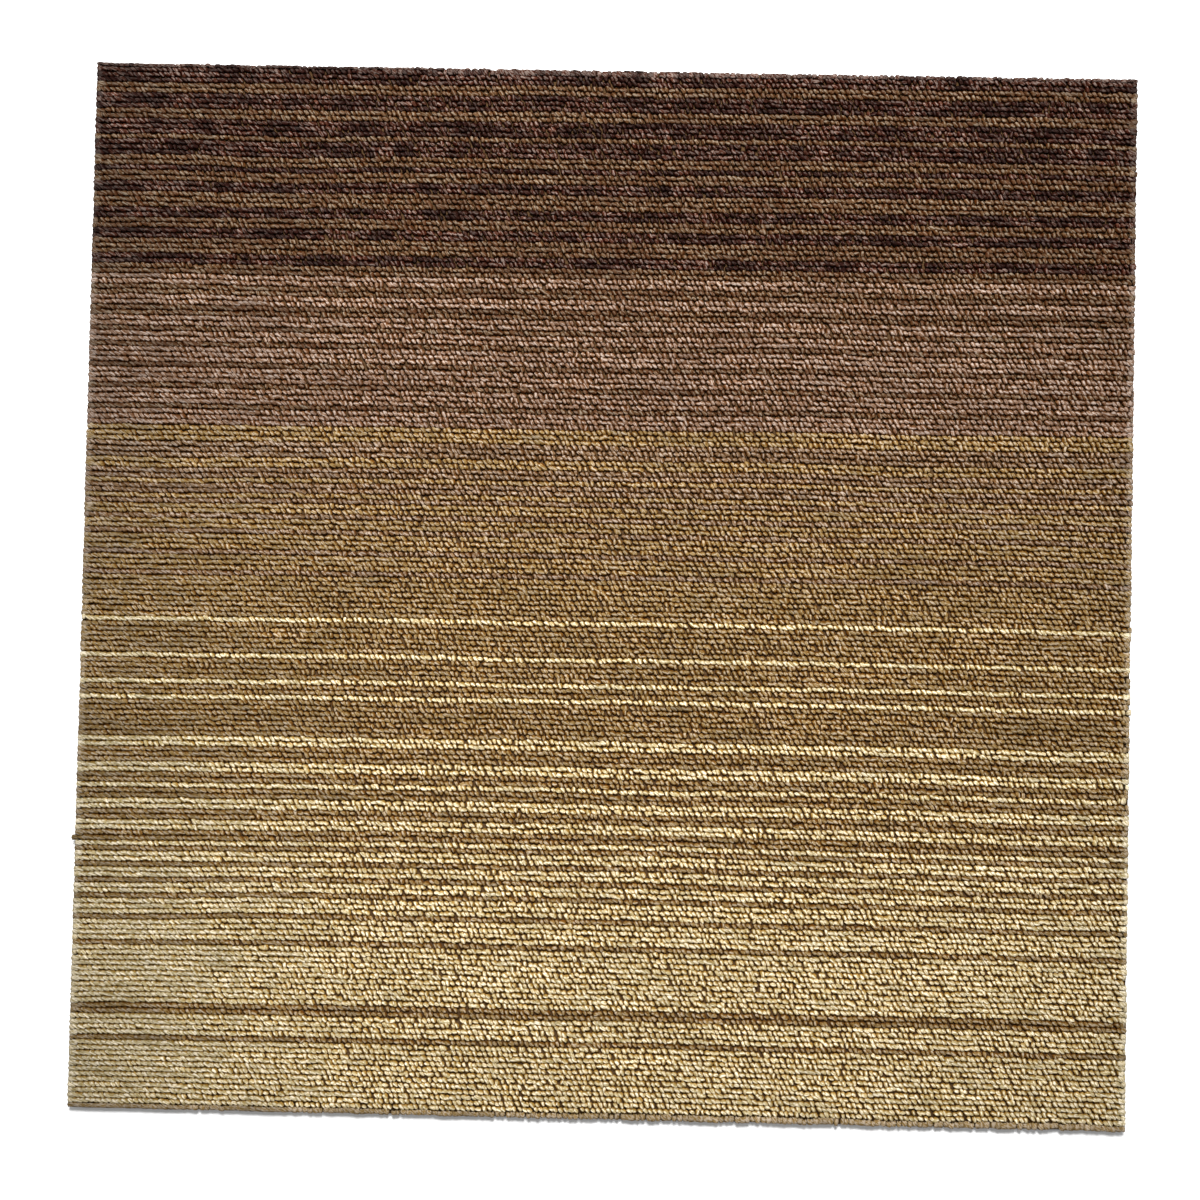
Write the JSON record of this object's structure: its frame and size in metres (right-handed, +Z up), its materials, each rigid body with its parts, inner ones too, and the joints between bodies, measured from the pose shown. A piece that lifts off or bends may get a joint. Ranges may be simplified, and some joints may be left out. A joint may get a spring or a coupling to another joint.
{
  "type": "carpet tile",
  "caption": "Square modular carpet tile: low loop pile in graded brown, mauve, ochre and cream stripes on a heavy dark backing, to lay loose or glue down edge to edge.",
  "frame": {"origin": "centre of the underside, at floor level", "axes": "+Z up through the pile, X along the rows of loops, +Y towards the dark striped edge"},
  "size_m": [0.5, 0.5, 0.0065],
  "materials": {
    "pile_yarn": "matt bulked yarn in rows of uncut loops",
    "backing_compound": "matt filled compound with a fine fleece underneath"
  },
  "bodies": {
    "root": {"loop_pile": "pile_yarn", "backing": "backing_compound"}
  },
  "joints": []
}
